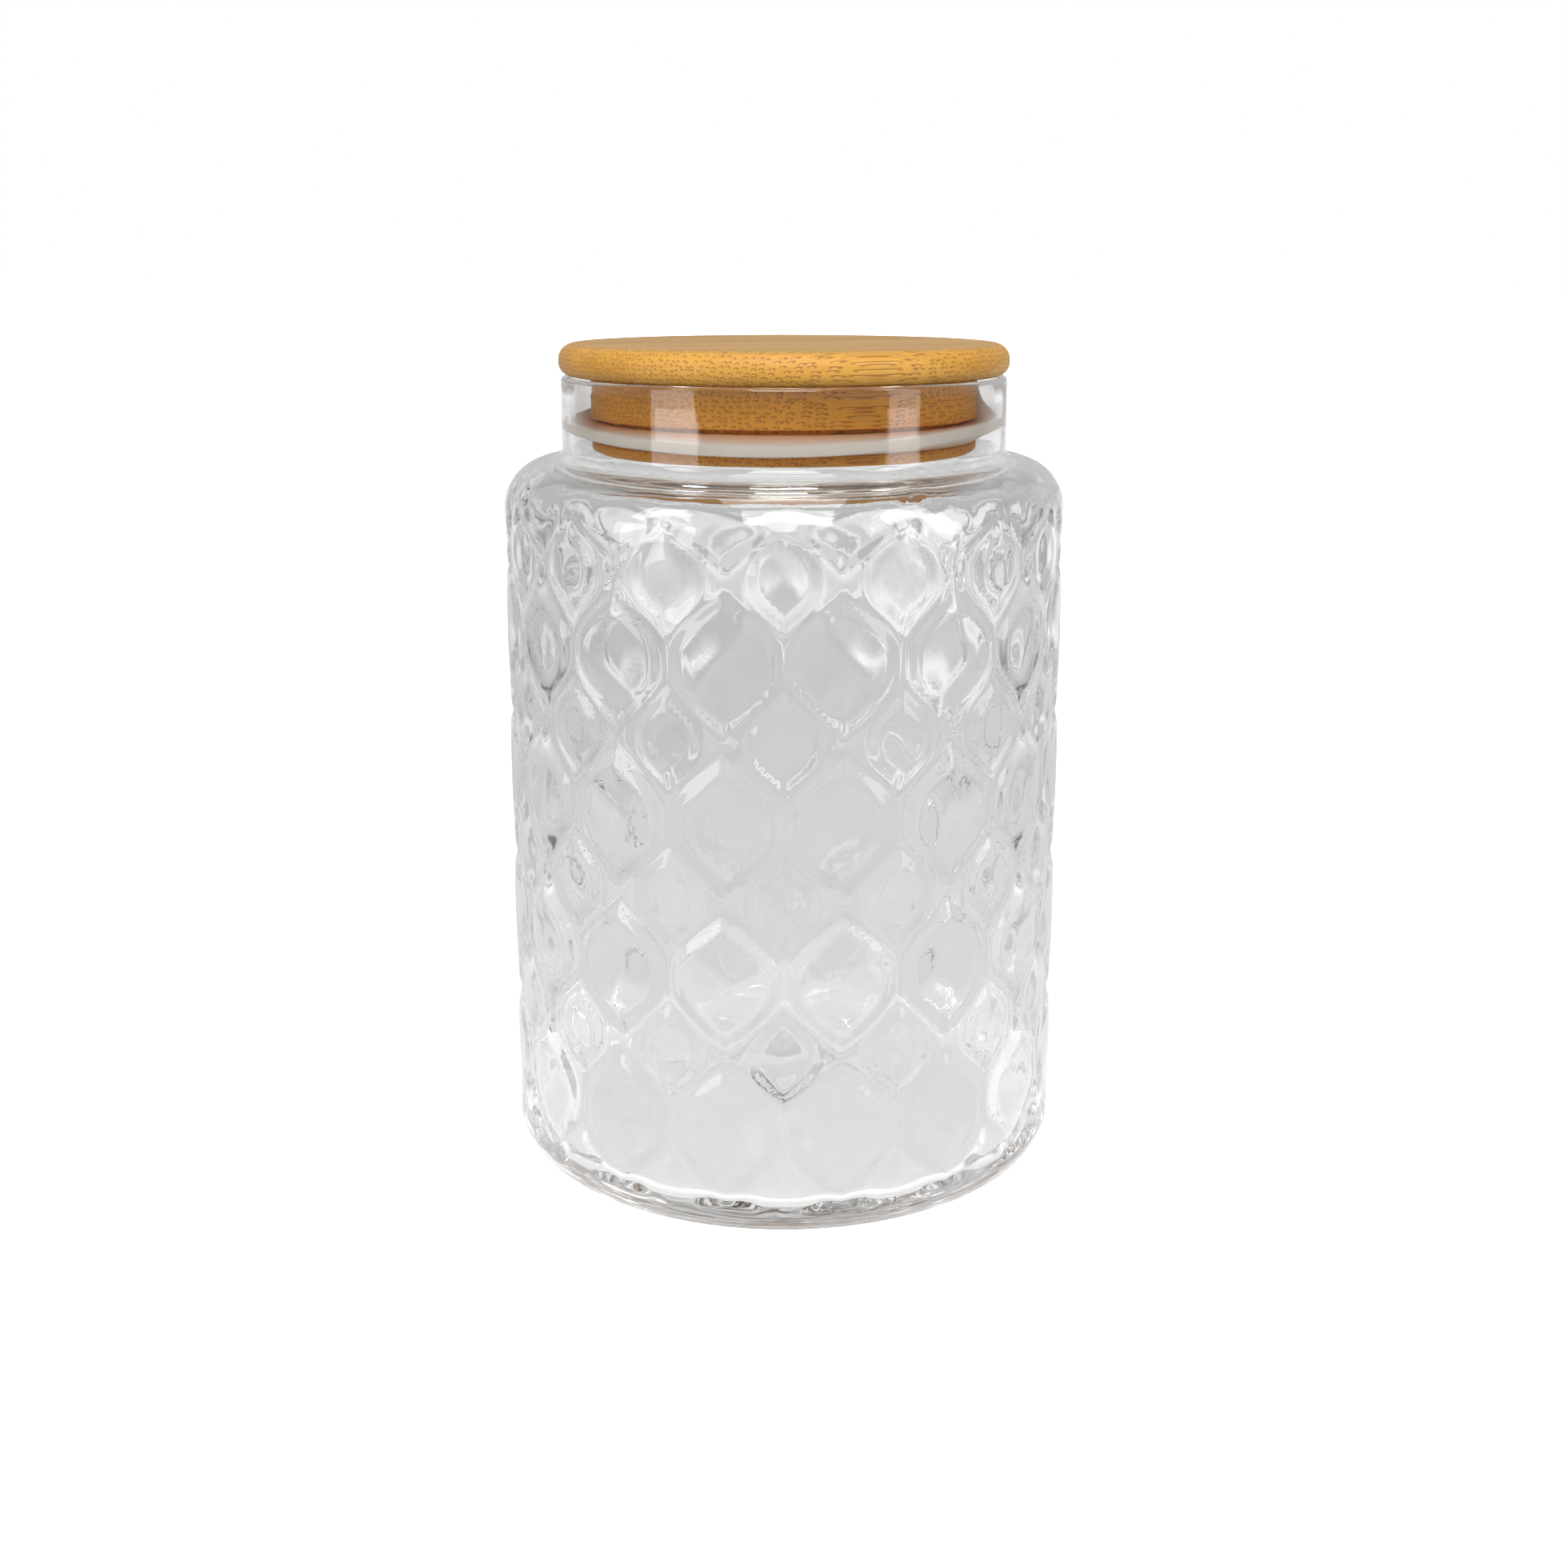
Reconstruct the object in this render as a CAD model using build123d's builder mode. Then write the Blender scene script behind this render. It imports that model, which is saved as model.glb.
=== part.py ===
from build123d import *
import os

# Glass food canister: an embossed jar closed by a bamboo plug lid with a silicone lip seal.
# Millimetres. The origin is on the table at the centre of the base, +Z is up.

# Jar
BODY_RADIUS = 62.9
BODY_INNER_RADIUS = 59.2
HEEL_RADIUS = 7.5
SHOULDER_START = 149.0
SHOULDER_RADIUS = 10.6
SHOULDER_WALL = 3.7
NECK_FILLET = 2.5
NECK_OUTER_RADIUS = 49.8
MOUTH_RADIUS = 48.0
MOUTH_EDGE_RADIUS = 3.0
RIM_HEIGHT = 177.8
FLOOR_THICKNESS = 5.4
FLOOR_CORNER_RADIUS = 5.5
PUSH_UP_RADIUS = 46.0
PUSH_UP_HEIGHT = 1.4

# Embossed pattern: two sizes of raised cell, with a sunk lattice between them
COLUMNS = 16
ROWS = 4
ROW_PITCH = 33.3
LARGE_CELL_LOWEST = 23.6
SMALL_CELL_LOWEST = 41.0
LARGE_CELL_HALF = (10.7, 14.0)
SMALL_CELL_HALF = (6.8, 9.8)
LATTICE_RADIUS = 62.0
LATTICE_BOTTOM = 6.0
LATTICE_TOP = 153.0

# Lid
DISC_RADIUS = 50.3
DISC_BOTTOM = 177.9
DISC_TOP = 185.0
DISC_TOP_ROUND = 3.6
DISC_BOTTOM_ROUND = 2.9
PLUG_RADIUS = 43.2
PLUG_BOTTOM = 161.0
PLUG_ROUND = 1.0
GROOVE_BOTTOM = 163.4
GROOVE_TOP = 168.8
GROOVE_DEPTH = 2.5

# Lip seal
SEAL_CLEARANCE = 0.05
LIP_UNDERSIDE = 167.2
LIP_TOP = 170.1
LIP_ROUND = 0.35

os.makedirs("parts", exist_ok=True)


def cell_outline(half_width, half_height):
    """Eight corners around one cell: full at the sides, drawn in to a point above and below."""
    right = [
        (half_width * (1 - abs(share) ** 1.8) ** 1.1, half_height * share)
        for share in (-1.0, -0.6, 0.0, 0.6)
    ]
    return right + [(-x, -z) for x, z in right]


def cell_plug(half_size, height, turn):
    """A radial prism of one cell's outline, which crosses the lattice's depth."""
    outward = Vector(0, -1, 0).rotate(Axis.Z, turn)
    across = Vector(1, 0, 0).rotate(Axis.Z, turn)
    origin = outward * (LATTICE_RADIUS - 3) + Vector(0, 0, height)
    with BuildPart() as cell:
        with BuildSketch(Plane(origin, x_dir=across, z_dir=outward)):
            with BuildLine():
                Polyline(*cell_outline(*half_size), close=True)
            make_face()
        extrude(amount=6)
    return cell.part


# Half a turn of the jar's wall, drawn at the right of the axis
with BuildPart() as jar_blank:
    with BuildSketch(Plane.XZ):
        with BuildLine():
            heel_start = (BODY_RADIUS - HEEL_RADIUS, 0)
            ledge_radius = BODY_RADIUS - SHOULDER_RADIUS
            ledge_height = SHOULDER_START + SHOULDER_RADIUS
            neck_start = ledge_height + NECK_FILLET
            rim_round = (NECK_OUTER_RADIUS - MOUTH_RADIUS) / 2
            lip_start = RIM_HEIGHT - rim_round
            inner_ledge = ledge_height - SHOULDER_WALL
            inner_shoulder = BODY_INNER_RADIUS - (inner_ledge - SHOULDER_START)
            floor_edge = BODY_INNER_RADIUS - FLOOR_CORNER_RADIUS

            ThreePointArc(
                (0, PUSH_UP_HEIGHT),
                (PUSH_UP_RADIUS / 2, PUSH_UP_HEIGHT * 0.76),
                (PUSH_UP_RADIUS, 0),
            )
            Line((PUSH_UP_RADIUS, 0), heel_start)
            RadiusArc(heel_start, (BODY_RADIUS, HEEL_RADIUS), -HEEL_RADIUS)
            Line((BODY_RADIUS, HEEL_RADIUS), (BODY_RADIUS, SHOULDER_START))
            RadiusArc(
                (BODY_RADIUS, SHOULDER_START), (ledge_radius, ledge_height), -SHOULDER_RADIUS
            )
            RadiusArc(
                (ledge_radius, ledge_height), (NECK_OUTER_RADIUS, neck_start), NECK_FILLET
            )
            Line((NECK_OUTER_RADIUS, neck_start), (NECK_OUTER_RADIUS, lip_start))
            ThreePointArc(
                (NECK_OUTER_RADIUS, lip_start),
                (MOUTH_RADIUS + rim_round, RIM_HEIGHT),
                (MOUTH_RADIUS, lip_start),
            )
            Line((MOUTH_RADIUS, lip_start), (MOUTH_RADIUS, inner_ledge + MOUTH_EDGE_RADIUS))
            RadiusArc(
                (MOUTH_RADIUS, inner_ledge + MOUTH_EDGE_RADIUS),
                (MOUTH_RADIUS + MOUTH_EDGE_RADIUS, inner_ledge),
                -MOUTH_EDGE_RADIUS,
            )
            Line((MOUTH_RADIUS + MOUTH_EDGE_RADIUS, inner_ledge), (inner_shoulder, inner_ledge))
            RadiusArc(
                (inner_shoulder, inner_ledge),
                (BODY_INNER_RADIUS, SHOULDER_START),
                inner_ledge - SHOULDER_START,
            )
            Line(
                (BODY_INNER_RADIUS, SHOULDER_START),
                (BODY_INNER_RADIUS, FLOOR_THICKNESS + FLOOR_CORNER_RADIUS),
            )
            RadiusArc(
                (BODY_INNER_RADIUS, FLOOR_THICKNESS + FLOOR_CORNER_RADIUS),
                (floor_edge, FLOOR_THICKNESS),
                FLOOR_CORNER_RADIUS,
            )
            Line((floor_edge, FLOOR_THICKNESS), (0, FLOOR_THICKNESS))
            Line((0, FLOOR_THICKNESS), (0, PUSH_UP_HEIGHT))
        make_face()
    revolve(axis=Axis.Z)

# The lattice sunk into the wall: a shallow ring that leaves every cell standing. The row of
# large cells above the field and the row of small cells below it run into the smooth glass.
column_step = 360 / COLUMNS
cell_rows = [
    (LARGE_CELL_HALF, LARGE_CELL_LOWEST + row * ROW_PITCH, column_step / 2)
    for row in range(ROWS + 1)
]
cell_rows += [
    (SMALL_CELL_HALF, SMALL_CELL_LOWEST + row * ROW_PITCH, 0)
    for row in range(-1, ROWS)
]
cells = [
    cell_plug(half_size, height, first_turn + column * column_step)
    for half_size, height, first_turn in cell_rows
    for column in range(COLUMNS)
]
with BuildPart() as lattice:
    with BuildSketch(Plane.XY.offset(LATTICE_BOTTOM)):
        Circle(BODY_RADIUS + 1)
        Circle(LATTICE_RADIUS, mode=Mode.SUBTRACT)
    extrude(amount=LATTICE_TOP - LATTICE_BOTTOM)
    add(cells, mode=Mode.SUBTRACT)

with BuildPart() as jar:
    add(jar_blank.part)
    add(lattice.part, mode=Mode.SUBTRACT)
jar.part.label = "jar"

# Bamboo disc that covers the rim
with BuildPart() as lid_disc:
    with BuildSketch(Plane.XY.offset(DISC_BOTTOM)):
        Circle(DISC_RADIUS)
    extrude(amount=DISC_TOP - DISC_BOTTOM)
    fillet(lid_disc.edges().sort_by(Axis.Z)[-1], radius=DISC_TOP_ROUND)
    fillet(lid_disc.edges().sort_by(Axis.Z)[0], radius=DISC_BOTTOM_ROUND)
lid_disc.part.label = "lid_disc"

# Bamboo plug glued under the disc, with a groove turned round it for the seal
with BuildPart() as lid_plug:
    with BuildSketch(Plane.XY.offset(PLUG_BOTTOM)):
        Circle(PLUG_RADIUS)
    extrude(amount=DISC_BOTTOM - PLUG_BOTTOM)
    fillet(lid_plug.edges().sort_by(Axis.Z)[0], radius=PLUG_ROUND)
    with BuildSketch(Plane.XY.offset(GROOVE_BOTTOM)):
        Circle(PLUG_RADIUS + 1)
        Circle(PLUG_RADIUS - GROOVE_DEPTH, mode=Mode.SUBTRACT)
    extrude(amount=GROOVE_TOP - GROOVE_BOTTOM, mode=Mode.SUBTRACT)
lid_plug.part.label = "lid_plug"

# Silicone ring: a root that fills the groove and a lip that flares up and out to the glass
with BuildPart() as seal_ring:
    with BuildSketch(Plane.XZ) as seal_section:
        with BuildLine():
            root_radius = PLUG_RADIUS - GROOVE_DEPTH + SEAL_CLEARANCE
            lip_radius = MOUTH_RADIUS - SEAL_CLEARANCE
            root_low = GROOVE_BOTTOM + SEAL_CLEARANCE
            root_high = GROOVE_TOP - SEAL_CLEARANCE
            Polyline(
                (root_radius, root_low),
                (PLUG_RADIUS, root_low),
                (lip_radius, LIP_UNDERSIDE),
                (lip_radius, LIP_TOP),
                (PLUG_RADIUS, root_high),
                (root_radius, root_high),
                close=True,
            )
        make_face()
        fillet(seal_section.vertices().group_by(Axis.X)[-1], radius=LIP_ROUND)
    revolve(axis=Axis.Z)
seal_ring.part.label = "seal_ring"

export_step(jar.part, "parts/jar.step")
export_step(lid_disc.part, "parts/lid_disc.step")
export_step(lid_plug.part, "parts/lid_plug.step")
export_step(seal_ring.part, "parts/seal_ring.step")
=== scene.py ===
"""Glass food canister: embossed jar, bamboo plug lid and silicone lip seal, built round the CAD frame."""

import math

import bpy
import numpy as np
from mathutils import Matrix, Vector


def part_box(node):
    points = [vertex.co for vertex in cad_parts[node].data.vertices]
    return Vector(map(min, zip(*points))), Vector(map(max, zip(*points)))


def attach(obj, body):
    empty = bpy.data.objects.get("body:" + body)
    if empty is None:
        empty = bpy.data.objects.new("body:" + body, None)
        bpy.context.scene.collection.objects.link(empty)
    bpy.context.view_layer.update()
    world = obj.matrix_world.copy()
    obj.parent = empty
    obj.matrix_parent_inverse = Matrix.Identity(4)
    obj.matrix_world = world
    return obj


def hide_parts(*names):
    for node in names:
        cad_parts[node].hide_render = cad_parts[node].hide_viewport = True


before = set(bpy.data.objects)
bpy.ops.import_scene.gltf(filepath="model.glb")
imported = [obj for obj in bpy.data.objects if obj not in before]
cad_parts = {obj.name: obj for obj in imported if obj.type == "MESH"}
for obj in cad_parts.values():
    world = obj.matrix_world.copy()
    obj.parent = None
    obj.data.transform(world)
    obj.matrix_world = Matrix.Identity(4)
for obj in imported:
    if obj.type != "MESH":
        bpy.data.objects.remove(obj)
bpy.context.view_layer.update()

MM = 0.001

# Mesh spacing: steps round a ring, and lengths along an outline in mm
ROUND_STEPS = 352
EMBOSSED_STEP = 1.25
INNER_WALL_STEP = 2.0
PLAIN_STEP = 6
LIP_STEP = 0.5

# Jar, from the frame and in mm
_, jar_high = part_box("jar")
BODY_RADIUS = jar_high.x / MM
RIM_HEIGHT = jar_high.z / MM
BODY_INNER_RADIUS = 59.2
HEEL_RADIUS = 7.5
SHOULDER_START = 149.0
SHOULDER_RADIUS = 10.6
SHOULDER_WALL = 3.7
NECK_FILLET = 2.5
NECK_OUTER_RADIUS = 49.8
MOUTH_RADIUS = 48.0
MOUTH_EDGE_RADIUS = 3.0
FLOOR_THICKNESS = 5.4
FLOOR_CORNER_RADIUS = 5.5
PUSH_UP_RADIUS = 46.0
PUSH_UP_HEIGHT = 1.4

# Embossed pattern, in mm
COLUMNS = 16
ROWS = 4
ROW_PITCH = 33.3
LARGE_CELL_LOWEST = 23.6
SMALL_CELL_LOWEST = 41.0
LARGE_CELL_HALF = (10.7, 14.0)
SMALL_CELL_HALF = (6.8, 9.8)
SIDE_FULLNESS = 2.6
TIP_HOLLOW = 1.5
LATTICE_DEPTH = 1.05
LATTICE_LOW = 6.2
LATTICE_HIGH = 154.0
CELL_CROWN = 0.3
CROWN_REACH = 6.0
CROWN_SUNK = 0.8
FADE_LOW = 4.0
FADE_HIGH = 9.0
VALLEY_BLEND = 1.8
OUTER_FLANK = 3.8
INNER_FLANK = 5.6
INNER_SHARE = 0.35
WOBBLE = 0.045
WOBBLE_WAVES = 14
WOBBLE_SEED = 5

# Lid and seal, from the frame and in mm
disc_low, disc_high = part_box("lid_disc")
plug_low, plug_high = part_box("lid_plug")
DISC_RADIUS = disc_high.x / MM
DISC_TOP_ROUND = 3.6
DISC_BOTTOM_ROUND = 2.9
PLUG_RADIUS = plug_high.x / MM
PLUG_ROUND = 1.0
GROOVE_BREAK = 0.2
GROOVE_LOW = 163.4
GROOVE_HIGH = 168.8
GROOVE_DEPTH = 2.5
SEAL_CLEARANCE = 0.05
SEAL_BITE = 0.03
ROOT_HEIGHT = 4.3
ROOT_RIDE = 0.45
LIP_MIDDLE = 168.2
LIP_HALF = 1.2
LIP_TILT = 0.8
LIP_SAG = 2.4
LIP_RISE_RIGHT = 0.55
FIBRE_TURN = math.radians(21.7)


# --- shape helpers -----------------------------------------------------------------------


def arc(centre, radius, start, end, steps):
    """Points (r, z) along a circular arc; angles in degrees from the +r direction."""
    turns = np.radians(np.linspace(start, end, steps + 1))
    return [(centre[0] + radius * math.cos(t), centre[1] + radius * math.sin(t)) for t in turns]


def run(start, end, step):
    """Points along a straight line, evenly spaced at about one step."""
    count = max(1, round(math.dist(start, end) / step))
    return [
        (start[0] + (end[0] - start[0]) * i / count, start[1] + (end[1] - start[1]) * i / count)
        for i in range(count + 1)
    ]


def outline(*stretches):
    """Joins stretches of points end to end and drops the repeated ones."""
    points = []
    for stretch in stretches:
        for point in stretch:
            if not points or math.dist(points[-1], point) > 1e-6:
                points.append(point)
    return points


def lathe(name, points, relief=None):
    """A closed mesh turned about Z from (r, z) points in mm. A profile that starts and ends on
    the axis closes there; any other is a ring. relief(turns, radii, heights, row, rings) gives
    the radii and heights of one ring of points, in mm."""
    solid = points[0][0] < 1e-6 and points[-1][0] < 1e-6
    rings = points[1:-1] if solid else points
    turns = np.arange(ROUND_STEPS) * 2 * math.pi / ROUND_STEPS
    vertices = []
    for row, (radius, height) in enumerate(rings):
        radii = np.full(ROUND_STEPS, radius)
        heights = np.full(ROUND_STEPS, height)
        if relief:
            radii, heights = relief(turns, radii, heights, row, rings)
        x = radii * np.sin(turns) * MM
        y = -radii * np.cos(turns) * MM
        vertices.append(np.column_stack([x, y, heights * MM]))
    vertices = [tuple(v) for v in np.concatenate(vertices)]

    faces = []
    joined = len(rings) - 1 if solid else len(rings)
    for row in range(joined):
        this = row * ROUND_STEPS
        above = (row + 1) % len(rings) * ROUND_STEPS
        for step in range(ROUND_STEPS):
            beside = (step + 1) % ROUND_STEPS
            faces.append((this + step, this + beside, above + beside, above + step))
    if solid:
        first, last = len(vertices), len(vertices) + 1
        vertices += [(0, 0, points[0][1] * MM), (0, 0, points[-1][1] * MM)]
        top = (len(rings) - 1) * ROUND_STEPS
        for step in range(ROUND_STEPS):
            beside = (step + 1) % ROUND_STEPS
            faces.append((first, beside, step))
            faces.append((last, top + step, top + beside))

    mesh = bpy.data.meshes.new(name)
    mesh.from_pydata(vertices, [], faces)
    mesh.polygons.foreach_set("use_smooth", [True] * len(mesh.polygons))
    mesh.update()
    piece = bpy.data.objects.new(name, mesh)
    bpy.context.scene.collection.objects.link(piece)
    return piece


# --- embossed lattice ----------------------------------------------------------------------


def cell_width(half_size, share):
    """Half a cell's width at a share of its half height: full at the sides, hollow by the tips."""
    return half_size[0] * (1 - share**SIDE_FULLNESS) ** TIP_HOLLOW


def cell_edge(half_size, count=48):
    """The closed outline of one cell."""
    shares = -np.cos(np.linspace(0, math.pi, count))
    widths = cell_width(half_size, np.abs(shares))
    right = np.column_stack([widths, half_size[1] * shares])
    return np.concatenate([right, -right[1:-1]])


def distance_to_cell(x, z, half_size):
    """Signed distance in mm from points to a cell's outline at the origin, negative inside."""
    edge = cell_edge(half_size)
    start, along = edge, np.roll(edge, -1, axis=0) - edge
    px = x[..., None] - start[:, 0]
    pz = z[..., None] - start[:, 1]
    share = (px * along[:, 0] + pz * along[:, 1]) / (along**2).sum(1)
    share = np.clip(share, 0, 1)
    gap = np.hypot(px - share * along[:, 0], pz - share * along[:, 1]).min(-1)
    level = np.clip(np.abs(z) / half_size[1], 0, 1)
    inside = np.abs(x) < cell_width(half_size, level)
    return np.where(inside, -gap, gap)


def soft_minimum(a, b, blend=VALLEY_BLEND):
    """The lower of two fields, with the corner between them rounded."""
    share = np.clip(0.5 + 0.5 * (b - a) / blend, 0, 1)
    return b + (a - b) * share - blend * share * (1 - share)


def smooth_step(share):
    share = np.clip(share, 0, 1)
    return share * share * (3 - 2 * share)


def field_distance(turns, heights):
    """Signed distance in mm to the nearest raised glass: a cell, or the smooth ends."""
    column = 2 * math.pi / COLUMNS
    nearest = soft_minimum(heights - LATTICE_LOW, LATTICE_HIGH - heights, 0.01)
    across_small = (turns + column / 2) % column - column / 2
    across_large = turns % column - column / 2
    for across, lowest, half_size, rows in (
        (across_large, LARGE_CELL_LOWEST, LARGE_CELL_HALF, range(ROWS + 1)),
        (across_small, SMALL_CELL_LOWEST, SMALL_CELL_HALF, range(-1, ROWS)),
    ):
        for row in rows:
            rise = heights - (lowest + row * ROW_PITCH)
            cell = distance_to_cell(across * BODY_RADIUS, rise, half_size)
            nearest = soft_minimum(nearest, cell)
    return nearest


def raised(distance, flank):
    """How far the glass stands above the lattice floor, from 0 to 1, at a distance from a cell."""
    return smooth_step((flank / 2 - distance) / flank)


def wobble(turns, heights, seed):
    """Gentle waves that pressing and fire polishing leave in the wall, in mm."""
    random = np.random.default_rng(seed)
    waves = 0.0
    for _ in range(WOBBLE_WAVES):
        rounds = random.integers(8, 34)
        climb = random.uniform(-0.45, 0.45)
        phase = random.uniform(0, 2 * math.pi)
        waves = waves + np.sin(rounds * turns + climb * heights + phase)
    return WOBBLE * waves / math.sqrt(WOBBLE_WAVES)


def jar_relief(turns, radii, heights, row, rings):
    """Presses the lattice into the outside of the wall, and a softer echo of it inside."""
    radius, height = rings[row]
    if not LATTICE_LOW - 4 < height < LATTICE_HIGH + 4 or radius < BODY_INNER_RADIUS - 1:
        return radii, heights
    before, after = rings[row - 1], rings[(row + 1) % len(rings)]
    along = Vector((after[0] - before[0], after[1] - before[1])).normalized()
    distance = field_distance(turns, heights)
    if radius > (BODY_RADIUS + BODY_INNER_RADIUS) / 2:
        crown = CELL_CROWN * (1 - (1 - np.clip(-distance / CROWN_REACH, 0, 1)) ** 2)
        end_fade = smooth_step((height - LATTICE_LOW) / FADE_LOW)
        end_fade *= smooth_step((LATTICE_HIGH - height) / FADE_HIGH)
        sunk = LATTICE_DEPTH * (raised(distance, OUTER_FLANK) - 1)
        depth = (sunk + crown - CELL_CROWN * CROWN_SUNK) * end_fade
    else:
        depth = INNER_SHARE * LATTICE_DEPTH * (1 - raised(distance, INNER_FLANK))
        depth = depth + wobble(turns, heights, WOBBLE_SEED)
    return radii + along.y * depth, heights - along.x * depth


def jar_outline():
    ledge_radius = BODY_RADIUS - SHOULDER_RADIUS
    ledge_height = SHOULDER_START + SHOULDER_RADIUS
    inner_ledge = ledge_height - SHOULDER_WALL
    inner_round = inner_ledge - SHOULDER_START
    rim_round = (NECK_OUTER_RADIUS - MOUTH_RADIUS) / 2
    lip_start = RIM_HEIGHT - rim_round
    mouth_edge = (MOUTH_RADIUS + MOUTH_EDGE_RADIUS, inner_ledge + MOUTH_EDGE_RADIUS)
    floor_edge = BODY_INNER_RADIUS - FLOOR_CORNER_RADIUS
    push_up = [
        (PUSH_UP_RADIUS * i / 12, PUSH_UP_HEIGHT * (1 - (i / 12) ** 2) ** 1.5) for i in range(13)
    ]
    return outline(
        push_up,
        run((PUSH_UP_RADIUS, 0), (BODY_RADIUS - HEEL_RADIUS, 0), 4),
        arc((BODY_RADIUS - HEEL_RADIUS, HEEL_RADIUS), HEEL_RADIUS, -90, 0, 12),
        run((BODY_RADIUS, HEEL_RADIUS), (BODY_RADIUS, SHOULDER_START), EMBOSSED_STEP),
        arc((ledge_radius, SHOULDER_START), SHOULDER_RADIUS, 0, 90, 16),
        arc((ledge_radius, ledge_height + NECK_FILLET), NECK_FILLET, 270, 180, 6),
        run((NECK_OUTER_RADIUS, ledge_height + NECK_FILLET), (NECK_OUTER_RADIUS, lip_start), 5),
        arc((MOUTH_RADIUS + rim_round, lip_start), rim_round, 0, 180, 10),
        run((MOUTH_RADIUS, lip_start), (MOUTH_RADIUS, mouth_edge[1]), 5),
        arc(mouth_edge, MOUTH_EDGE_RADIUS, 180, 270, 6),
        run((mouth_edge[0], inner_ledge), (BODY_INNER_RADIUS - inner_round, inner_ledge), 2),
        arc((BODY_INNER_RADIUS - inner_round, SHOULDER_START), inner_round, 90, 0, 10),
        run(
            (BODY_INNER_RADIUS, SHOULDER_START),
            (BODY_INNER_RADIUS, FLOOR_THICKNESS + FLOOR_CORNER_RADIUS),
            INNER_WALL_STEP,
        ),
        arc((floor_edge, FLOOR_THICKNESS + FLOOR_CORNER_RADIUS), FLOOR_CORNER_RADIUS, 0, -90, 8),
        run((floor_edge, FLOOR_THICKNESS), (0, FLOOR_THICKNESS), 7),
    )


# --- material helpers ------------------------------------------------------------------------


def new_material(name):
    material = bpy.data.materials.new(name)
    material.use_nodes = True
    nodes = material.node_tree.nodes
    return material, nodes, material.node_tree.links, nodes["Principled BSDF"]


class Graph:
    """Short calls for the nodes that the materials share."""

    def __init__(self, material):
        self.nodes = material.node_tree.nodes
        self.links = material.node_tree.links

    def put(self, value, socket):
        if isinstance(value, bpy.types.NodeSocket):
            self.links.new(value, socket)
        else:
            socket.default_value = value

    def math(self, operation, *values):
        node = self.nodes.new("ShaderNodeMath")
        node.operation = operation
        for value, socket in zip(values, node.inputs):
            self.put(value, socket)
        return node.outputs[0]

    def noise(self, vector, scale, detail=2.0, roughness=0.5):
        node = self.nodes.new("ShaderNodeTexNoise")
        self.put(vector, node.inputs["Vector"])
        self.put(scale, node.inputs["Scale"])
        self.put(detail, node.inputs["Detail"])
        self.put(roughness, node.inputs["Roughness"])
        return node.outputs["Fac"]

    def band(self, value, low, high, to_low=0.0, to_high=1.0):
        node = self.nodes.new("ShaderNodeMapRange")
        node.interpolation_type = "SMOOTHSTEP"
        self.put(value, node.inputs["Value"])
        self.put(low, node.inputs["From Min"])
        self.put(high, node.inputs["From Max"])
        self.put(to_low, node.inputs["To Min"])
        self.put(to_high, node.inputs["To Max"])
        return node.outputs["Result"]

    def mix(self, factor, a, b, kind="MIX"):
        node = self.nodes.new("ShaderNodeMix")
        node.data_type = "RGBA"
        node.blend_type = kind
        self.put(factor, node.inputs["Factor"])
        self.put(a, node.inputs["A"])
        self.put(b, node.inputs["B"])
        return node.outputs["Result"]

    def split(self, vector):
        node = self.nodes.new("ShaderNodeSeparateXYZ")
        self.links.new(vector, node.inputs[0])
        return node.outputs

    def join(self, x, y):
        node = self.nodes.new("ShaderNodeCombineXYZ")
        self.put(x, node.inputs["X"])
        self.put(y, node.inputs["Y"])
        return node.outputs[0]

    def place(self, scale=(1, 1, 1), turn=(0, 0, 0)):
        """Object coordinates, turned and then stretched."""
        coordinates = self.nodes.new("ShaderNodeTexCoord").outputs["Object"]
        turned = self.nodes.new("ShaderNodeVectorRotate")
        turned.rotation_type = "EULER_XYZ"
        turned.inputs["Rotation"].default_value = turn
        self.links.new(coordinates, turned.inputs["Vector"])
        stretched = self.nodes.new("ShaderNodeVectorMath")
        stretched.operation = "MULTIPLY"
        self.links.new(turned.outputs["Vector"], stretched.inputs[0])
        stretched.inputs[1].default_value = scale
        return stretched.outputs["Vector"]

    def bump(self, height, strength, distance, normal=None):
        node = self.nodes.new("ShaderNodeBump")
        self.put(height, node.inputs["Height"])
        self.put(strength, node.inputs["Strength"])
        self.put(distance, node.inputs["Distance"])
        if normal is not None:
            self.put(normal, node.inputs["Normal"])
        return node.outputs["Normal"]


# --- materials -----------------------------------------------------------------------------

BAMBOO_PALE = (0.78, 0.41, 0.078, 1)
BAMBOO_DEEP = (0.64, 0.315, 0.052, 1)
BAMBOO_FIBRE = (0.50, 0.23, 0.033, 1)
BAMBOO_SHEATH = (0.25, 0.095, 0.016, 1)
# The pore colour is a painted highlight where the pores catch the light.
BAMBOO_PORE_PAINTED_HIGHLIGHT = (0.85, 0.52, 0.17, 1)
# The dull colour is a painted sheen on faces that look up.
BAMBOO_PAINTED_TOP_SHEEN = (0.44, 0.28, 0.115, 1)


def glass_material():
    material, _, links, shader = new_material("clear_pressed_glass")
    graph = Graph(material)
    shader.inputs["Base Color"].default_value = (0.962, 0.966, 0.962, 1)
    shader.inputs["IOR"].default_value = 1.48
    shader.inputs["Transmission Weight"].default_value = 1.0
    ripple = graph.noise(graph.place(scale=(1, 1, 0.5)), 55.0, 1.0)
    chatter = graph.noise(graph.place(scale=(1, 1, 0.7)), 260.0, 2.0)
    patches = graph.band(graph.noise(graph.place(), 22.0, 1.0), 0.5, 0.7)
    smear = graph.noise(graph.place(), 160.0, 3.0)
    links.new(graph.band(smear, 0.5, 0.9, 0.0, 0.03), shader.inputs["Roughness"])
    surface = graph.bump(ripple, 0.35, 0.0012)
    chatter = graph.math("MULTIPLY", chatter, patches)
    links.new(graph.bump(chatter, 0.18, 0.0004, surface), shader.inputs["Normal"])
    return material


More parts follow.
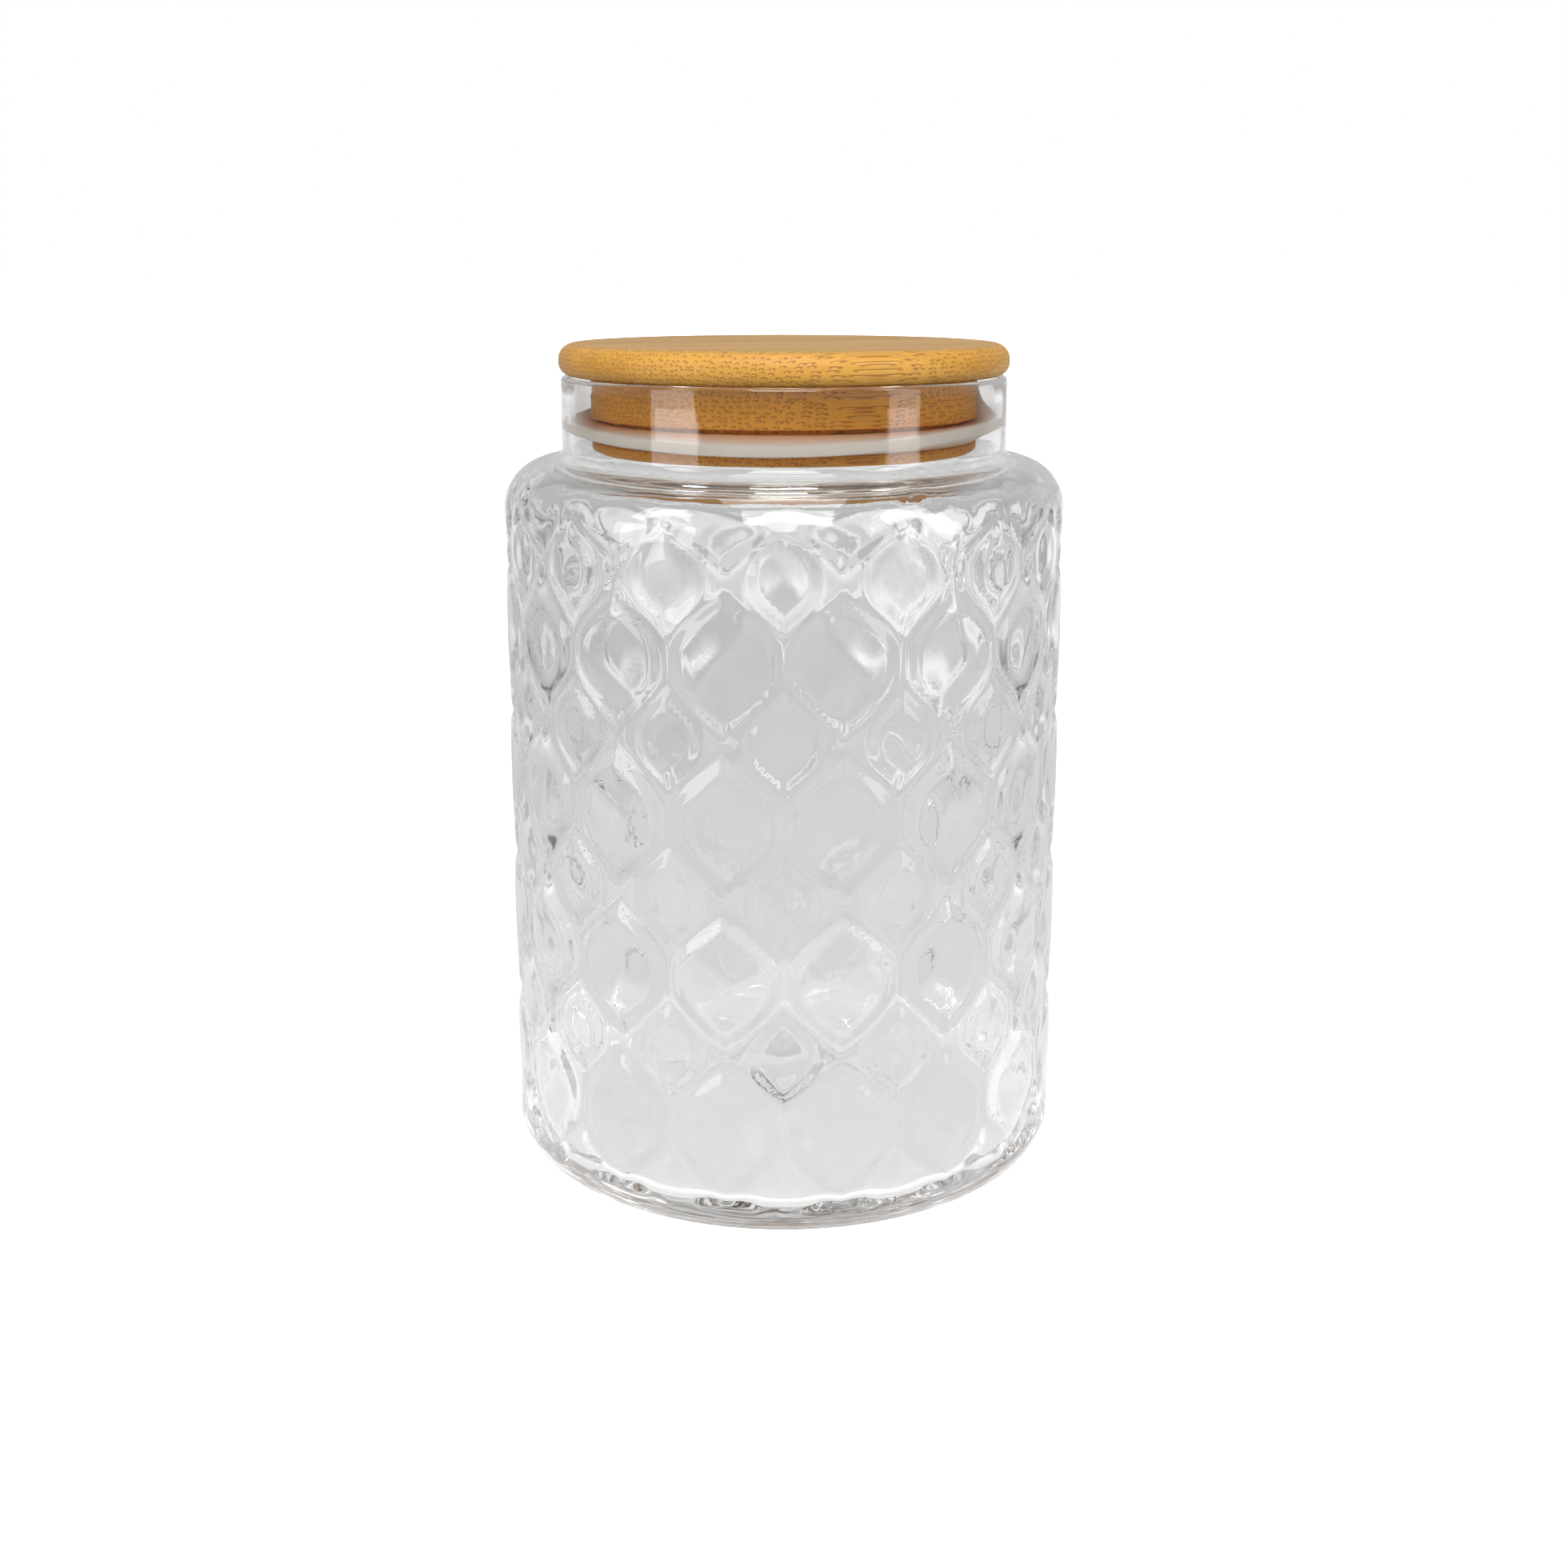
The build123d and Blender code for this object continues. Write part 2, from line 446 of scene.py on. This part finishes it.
def bamboo_material(name, sanded, painted_light_tint):
    """Bamboo whose fibres run along one horizontal line: bundles show as dots on end grain
    and as long streaks where the surface runs along them."""
    material, nodes, links, shader = new_material(name)
    graph = Graph(material)
    turn = (0, 0, -FIBRE_TURN)
    along, across, up = graph.split(graph.place(turn=turn))
    sway = graph.noise(graph.place((14, 90, 90), turn), 1.0, 2.0)
    sway = graph.math("MULTIPLY", sway, 1.3)
    section = graph.join(
        graph.math("MULTIPLY_ADD", across, 1120.0, sway), graph.math("MULTIPLY_ADD", up, 1060.0, sway)
    )
    bundles = nodes.new("ShaderNodeTexVoronoi")
    bundles.voronoi_dimensions = "2D"
    bundles.inputs["Scale"].default_value = 1.0
    bundles.inputs["Randomness"].default_value = 0.62
    links.new(section, bundles.inputs["Vector"])
    # Painted highlight: each bundle's dark ring is its own colour, but a lighter spot set off towards its
    # lower side stands in for the light a pore catches, and it leaves the dark as a crescent above it.
    offset = nodes.new("ShaderNodeVectorMath")
    offset.operation = "SUBTRACT"
    links.new(section, offset.inputs[0])
    links.new(bundles.outputs["Position"], offset.inputs[1])
    pore = nodes.new("ShaderNodeVectorMath")
    pore.operation = "DISTANCE"
    links.new(offset.outputs["Vector"], pore.inputs[0])
    pore.inputs[1].default_value = (0.03, -0.09, 0)
    pore_highlight_spot = graph.band(pore.outputs["Value"], 0.20, 0.12)
    outer = graph.band(bundles.outputs["Distance"], 0.36, 0.25)
    sheath = graph.math("SUBTRACT", outer, pore_highlight_spot)
    sheath = graph.math("MAXIMUM", sheath, 0.0)

    fine = graph.noise(graph.place((14, 2600, 2600), turn), 1.0, 3.0, 0.6)
    broad = graph.noise(graph.place((7, 60, 60), turn), 1.0, 3.0)
    ground = graph.mix(graph.band(broad, 0.3, 0.7), BAMBOO_PALE, BAMBOO_DEEP)
    ground = graph.mix(graph.band(fine, 0.35, 0.75, 0.0, 0.35), ground, BAMBOO_FIBRE)
    strips = nodes.new("ShaderNodeTexWhiteNoise")
    strips.noise_dimensions = "1D"
    links.new(graph.math("FLOOR", graph.math("MULTIPLY", across, 47.0)), strips.inputs["W"])
    ground = graph.mix(graph.math("MULTIPLY", strips.outputs["Value"], 0.12), ground, BAMBOO_FIBRE)
    colour = graph.mix(graph.math("MULTIPLY", sheath, 0.68), ground, BAMBOO_SHEATH)
    # Paints the pore highlight over the wood.
    colour = graph.mix(graph.math("MULTIPLY", pore_highlight_spot, 0.35), colour, BAMBOO_PORE_PAINTED_HIGHLIGHT)
    # Painted sheen: faces that look up are mixed towards a duller, greyer beige, standing in for the
    # bright room reflected at a grazing angle off the disc's top.
    facing = graph.split(nodes.new("ShaderNodeNewGeometry").outputs["Normal"])[2]
    colour = graph.mix(graph.band(facing, 0.75, 1.0, 0.0, 0.55), colour, BAMBOO_PAINTED_TOP_SHEEN)
    # Painted light: the tint makes lit and shaded copies of one bamboo; the plug's copy is painted
    # brighter and redder for the light that the disc's overhang and the glass keep from it.
    colour = graph.mix(1.0, colour, painted_light_tint, "MULTIPLY")
    links.new(colour, shader.inputs["Base Color"])
    shader.inputs["Specular IOR Level"].default_value = 0.3

    polish = graph.band(fine, 0.2, 0.8, sanded - 0.06, sanded + 0.08)
    links.new(graph.math("MULTIPLY_ADD", sheath, 0.12, polish), shader.inputs["Roughness"])
    grain = graph.math("SUBTRACT", graph.math("MULTIPLY", fine, 0.4), graph.math("MULTIPLY", outer, 0.8))
    links.new(graph.bump(grain, 0.5, 0.00012), shader.inputs["Normal"])
    return material


def silicone_material():
    """White silicone; towards the groove its colour is painted warm brown, standing in for the wood's
    colour seen through the thin, translucent silicone.
    """
    material, nodes, links, shader = new_material("translucent_silicone")
    graph = Graph(material)
    cloud = graph.noise(graph.place(), 90.0, 3.0)
    specks = graph.band(graph.noise(graph.place(), 1500.0, 1.0), 0.72, 0.8)
    away = nodes.new("ShaderNodeVectorMath")
    away.operation = "LENGTH"
    links.new(graph.place(scale=(1, 1, 0)), away.inputs[0])
    # Painted light: the colour warms towards the groove, standing in for the wood seen through the
    # silicone.
    painted_wood_light = graph.band(away.outputs["Value"], (MOUTH_RADIUS - 0.2) * MM, (PLUG_RADIUS + 0.2) * MM)
    colour = graph.mix(cloud, (0.92, 0.81, 0.71, 1), (0.96, 0.86, 0.77, 1))
    colour = graph.mix(painted_wood_light, colour, (0.93, 0.57, 0.34, 1))
    colour = graph.mix(graph.math("MULTIPLY", specks, 0.4), colour, (0.6, 0.55, 0.5, 1))
    links.new(colour, shader.inputs["Base Color"])
    links.new(graph.band(cloud, 0.2, 0.8, 0.38, 0.52), shader.inputs["Roughness"])
    links.new(graph.bump(graph.noise(graph.place(), 700.0, 2.0), 0.15, 0.0002), shader.inputs["Normal"])
    shader.inputs["IOR"].default_value = 1.41
    shader.inputs["Subsurface Weight"].default_value = 0.7
    shader.inputs["Subsurface Radius"].default_value = (1.0, 0.9, 0.8)
    shader.inputs["Subsurface Scale"].default_value = 0.003
    return material


# --- pieces --------------------------------------------------------------------------------


def make_jar():
    jar = lathe("jar_glass", jar_outline(), jar_relief)
    jar.data.materials.append(glass_material())
    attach(jar, "jar")
    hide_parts("jar")


def make_disc():
    low, high = disc_low.z / MM, disc_high.z / MM
    foot, crest = DISC_RADIUS - DISC_BOTTOM_ROUND, DISC_RADIUS - DISC_TOP_ROUND
    points = outline(
        run((0, low), (foot, low), PLAIN_STEP),
        arc((foot, low + DISC_BOTTOM_ROUND), DISC_BOTTOM_ROUND, -90, 0, 12),
        arc((crest, high - DISC_TOP_ROUND), DISC_TOP_ROUND, 0, 90, 14),
        run((crest, high), (0, high), PLAIN_STEP),
    )
    disc = lathe("bamboo_disc", points)
    # The disc's copy of the bamboo is tinted a little darker than the plug's.
    disc.data.materials.append(bamboo_material("bamboo_sanded", 0.42, (0.9, 0.9, 0.88, 1)))
    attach(disc, "lid")
    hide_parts("lid_disc")


def make_plug():
    low, high = plug_low.z / MM, plug_high.z / MM
    groove = PLUG_RADIUS - GROOVE_DEPTH
    points = outline(
        run((0, low), (PLUG_RADIUS - PLUG_ROUND, low), PLAIN_STEP),
        arc((PLUG_RADIUS - PLUG_ROUND, low + PLUG_ROUND), PLUG_ROUND, -90, 0, 6),
        [(PLUG_RADIUS, GROOVE_LOW - GROOVE_BREAK), (PLUG_RADIUS - GROOVE_BREAK, GROOVE_LOW)],
        run((groove, GROOVE_LOW), (groove, GROOVE_HIGH), 1),
        [(PLUG_RADIUS - GROOVE_BREAK, GROOVE_HIGH), (PLUG_RADIUS, GROOVE_HIGH + GROOVE_BREAK)],
        run((PLUG_RADIUS, GROOVE_HIGH + 0.3), (PLUG_RADIUS, high), 2),
        run((PLUG_RADIUS, high), (0, high), PLAIN_STEP),
    )
    plug = lathe("bamboo_plug", points)
    # The plug's tint is painted light, brightening the wood that the disc shades and the glass dims.
    plug.data.materials.append(bamboo_material("bamboo_turned", 0.5, (1.18, 1.02, 0.74, 1)))
    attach(plug, "lid")
    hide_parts("lid_plug")


def settle_lip(turns, radii, heights, row, rings):
    """The fitted ring lies unevenly: its lip is pushed down in front and is nearly level
    behind, and its root rides a little the same way in the groove."""
    front = np.cos(turns)
    reach = np.clip((radii - PLUG_RADIUS) / (MOUTH_RADIUS - PLUG_RADIUS), 0, 1)
    lip = LIP_RISE_RIGHT * np.sin(turns) - LIP_TILT * front - LIP_SAG * np.maximum(front, 0) ** 2
    return radii, heights + reach * lip - (1 - reach) * ROOT_RIDE * front


def make_seal():
    root = PLUG_RADIUS - GROOVE_DEPTH + SEAL_CLEARANCE
    lip = MOUTH_RADIUS + SEAL_BITE
    middle = (GROOVE_LOW + GROOVE_HIGH) / 2
    low, high = middle - ROOT_HEIGHT / 2, middle + ROOT_HEIGHT / 2
    under, over = LIP_MIDDLE - LIP_HALF, LIP_MIDDLE + LIP_HALF
    points = outline(
        run((root, high), (root, low), 1),
        run((root, low), (PLUG_RADIUS, low), 1),
        run((PLUG_RADIUS, low), (lip - 0.3, under - 0.2), LIP_STEP),
        [(lip - 0.08, under), (lip, under + 0.25)],
        run((lip, under + 0.35), (lip, over - 0.35), LIP_STEP),
        [(lip - 0.08, over - 0.1), (lip - 0.35, over)],
        run((lip - 0.6, over - 0.1), (PLUG_RADIUS, high), LIP_STEP),
        run((PLUG_RADIUS, high), (root, high), 1)[:-1],
    )
    seal = lathe("silicone_seal", points, settle_lip)
    seal.data.materials.append(silicone_material())
    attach(seal, "seal")
    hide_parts("seal_ring")


# --- studio --------------------------------------------------------------------------------

GLASS_BOUNCES = 32
ROOM_FRONT = 0.2
ROOM_BACK = 0.55
ROOM_ABOVE = 0.7
FLOOR_SIZE = 30.0
FLOOR_GAP = 0.0003
DARKEST_FLOOR = 0.12
LEFT_SHADE = 0.1
RIGHT_GAIN = 0.08
WHITE_TO_CAMERA = 0.9

# Camera, fitted to how the disc, rim, shoulder and base curve in the photo
LOOK_DOWN = math.radians(11.35)
CAMERA_PLACE = (0, -0.4348, 0.20156)
LENS = 44.1
LENS_SHIFT = -0.0842


def softbox(name, azimuth, distance, low, high, width, radiance, lean=0.0):
    """A rectangular lamp that faces the jar's axis. Azimuth in degrees, from the camera's side
    towards +X. Upright, it reaches from low to high above the floor, in metres. lean tips it
    about its middle to aim that much lower per metre of distance."""
    height = high - low
    lamp = bpy.data.lights.new(name, "AREA")
    lamp.shape = "RECTANGLE"
    lamp.size = width
    lamp.size_y = height
    lamp.energy = radiance * math.pi * width * height
    light = bpy.data.objects.new(name, lamp)
    bpy.context.scene.collection.objects.link(light)
    turn = math.radians(azimuth)
    place = Vector((distance * math.sin(turn), -distance * math.cos(turn), (low + high) / 2))
    light.location = place
    aim = Vector((-place.x, -place.y, -lean * distance))
    light.rotation_mode = "QUATERNION"
    light.rotation_quaternion = aim.to_track_quat("-Z", "Y")
    light.visible_camera = False
    return light


def floor_material():
    """A pale table that glows, though it is no lamp: its glow and its colour carry painted light
    and shade, in bands set by the distance from the jar's axis in metres: a painted pool of light
    under the jar, duller close by and bright again further away. Beyond half a metre it stays lit
    behind the jar, a little more on the right, and goes dark in front and at the sides. The camera
    itself sees it as white; only the glass and the lid see these bands."""
    material, nodes, links, shader = new_material("pale_floor")
    graph = Graph(material)
    away = nodes.new("ShaderNodeVectorMath")
    away.operation = "LENGTH"
    links.new(graph.place(), away.inputs[0])
    away = away.outputs["Value"]
    x, y, _ = graph.split(graph.place())

    # Painted shade: far out in front and at the sides the floor's colour and glow go dark, and they are a
    # little weaker on the left and stronger on the right.
    behind = graph.math("DIVIDE", y, away)
    darkness = graph.math("MULTIPLY", graph.band(away, 0.4, 0.9), graph.band(behind, 0.8, 0.35))
    lit = graph.band(darkness, 0.0, 1.0, 1.0, DARKEST_FLOOR)
    beside = graph.math("DIVIDE", x, away)
    shade = graph.band(beside, -0.3, 0.3, -LEFT_SHADE, RIGHT_GAIN)
    shade = graph.math("MULTIPLY", shade, graph.band(away, 0.25, 0.6))
    shade = graph.math("MULTIPLY", shade, graph.band(away, 2.2, 1.3))
    lit = graph.math("MULTIPLY", lit, graph.math("ADD", shade, 1.0))

    grain = graph.band(graph.noise(graph.place(), 60.0, 4.0), 0.3, 0.7, 0.97, 1.0)
    tone = graph.math("MULTIPLY", graph.band(away, 0.1, 0.38, 0.38, 0.25), grain)
    tone = graph.math("MULTIPLY", tone, lit)
    links.new(graph.mix(tone, (0, 0, 0, 1), (1, 1, 1, 1)), shader.inputs["Base Color"])
    shader.inputs["Roughness"].default_value = 0.9

    # Painted light: the floor glows, most under the jar where the jar would shade it, and again further
    # out.
    near = graph.band(away, 0.06, 0.12, 0.38, 0.1)
    close = graph.band(away, 0.12, 0.25, 0.34, 0.32)
    far = graph.band(away, 0.5, 1.1, 0.0, 0.42)
    far = graph.math("SUBTRACT", far, graph.band(away, 1.3, 2.2, 0.0, 0.17))
    glow = graph.math("MULTIPLY", graph.math("ADD", graph.math("ADD", near, close), far), lit)
    shader.inputs["Emission Color"].default_value = (1, 1, 1, 1)
    seen = nodes.new("ShaderNodeLightPath").outputs["Is Camera Ray"]
    glow = graph.math("MULTIPLY_ADD", seen, WHITE_TO_CAMERA, glow)
    links.new(glow, shader.inputs["Emission Strength"])
    return material


def make_studio():
    """Floor, lamps and room. The top lamp isn't seen through the glass, where it would be a glare."""
    mesh = bpy.data.meshes.new("floor")
    half = FLOOR_SIZE / 2
    mesh.from_pydata(
        [(-half, -half, 0), (half, -half, 0), (half, half, 0), (-half, half, 0)], [], [(0, 1, 2, 3)]
    )
    floor = bpy.data.objects.new("floor", mesh)
    floor.location.z = -FLOOR_GAP
    bpy.context.scene.collection.objects.link(floor)
    mesh.materials.append(floor_material())

    softbox("left_softbox", -55.7, 1.1, 0.03, 0.45, 0.49, 3.6)
    softbox("right_softbox", 60.7, 1.1, 0.03, 0.9, 0.35, 2.8)
    softbox("left_high_softbox", -58.0, 1.1, 0.65, 1.2, 0.28, 5.5, lean=0.84)
    softbox("right_high_softbox", 58.0, 1.1, 0.65, 1.2, 0.28, 5.5, lean=0.84)
    softbox("front_softbox", 0, 0.85, 0.6, 1.22, 0.6, 7.5, lean=0.9)
    overhead = softbox("top_softbox", 0, 0.3, 1.05, 1.55, 0.7, 5.0, lean=3.83)
    overhead.visible_transmission = False

    world = bpy.data.worlds.new("studio")
    bpy.context.scene.world = world
    world.use_nodes = True
    graph = Graph(world)
    direction = graph.nodes.new("ShaderNodeTexCoord").outputs["Generated"]
    _, depth, height = graph.split(direction)
    walls = graph.band(depth, 0.2, 0.8, ROOM_FRONT, ROOM_BACK)
    room = graph.math("MULTIPLY", walls, graph.band(height, 0.15, 0.5, 1.0, ROOM_ABOVE))
    seen = graph.nodes.new("ShaderNodeLightPath").outputs["Is Camera Ray"]
    graph.put(graph.math("MAXIMUM", room, seen), graph.nodes["Background"].inputs["Strength"])
    graph.nodes["Background"].inputs["Color"].default_value = (1, 1, 1, 1)


def make_camera():
    data = bpy.data.cameras.new("camera")
    data.lens = LENS
    data.sensor_width = 36.0
    data.shift_y = LENS_SHIFT
    data.clip_start = 0.01
    data.clip_end = 100.0
    camera = bpy.data.objects.new("camera", data)
    camera.location = CAMERA_PLACE
    camera.rotation_euler = (math.pi / 2 - LOOK_DOWN, 0, 0)
    bpy.context.scene.collection.objects.link(camera)
    bpy.context.scene.camera = camera


make_jar()
make_disc()
make_plug()
make_seal()
make_studio()
make_camera()
bpy.context.scene.view_settings.view_transform = "Standard"
cycles = bpy.context.scene.cycles
cycles.max_bounces = GLASS_BOUNCES
cycles.transmission_bounces = GLASS_BOUNCES
cycles.glossy_bounces = GLASS_BOUNCES
